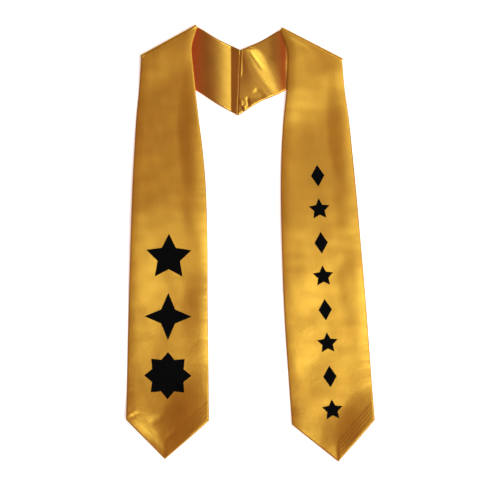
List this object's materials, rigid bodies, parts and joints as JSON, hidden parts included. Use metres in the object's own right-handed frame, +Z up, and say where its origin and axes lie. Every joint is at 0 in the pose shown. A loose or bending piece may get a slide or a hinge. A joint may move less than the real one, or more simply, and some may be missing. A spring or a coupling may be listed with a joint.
{
  "type": "graduation stole",
  "caption": "Gold satin graduation stole lying face up: V-shaped back of the neck, two shoulder folds and two long front panels with pointed ends and black ornaments.",
  "frame": {"origin": "under the middle of the stole's bounding box, on the surface that it lies on", "axes": "+Z up from the surface, +Y from the pointed ends to the neck, +X to the right as the face is seen with the neck at the top"},
  "size_m": [0.378, 0.6646, 0.0119],
  "materials": {
    "satin_face": "gold polyester satin, lustrous, fine weave along the length",
    "satin_lining": "gold polyester satin lining, a little smoother and glossier than the face",
    "applique": "black twill, matt"
  },
  "bodies": {
    "root": {"left_face": "satin_face", "left_lining": "satin_lining", "right_face": "satin_face", "right_lining": "satin_lining", "left_applique_1": "applique", "left_applique_2": "applique", "left_applique_3": "applique", "right_applique_1": "applique", "right_applique_2": "applique", "right_applique_3": "applique", "right_applique_4": "applique", "right_applique_5": "applique", "right_applique_6": "applique", "right_applique_7": "applique", "right_applique_8": "applique"}
  },
  "joints": []
}
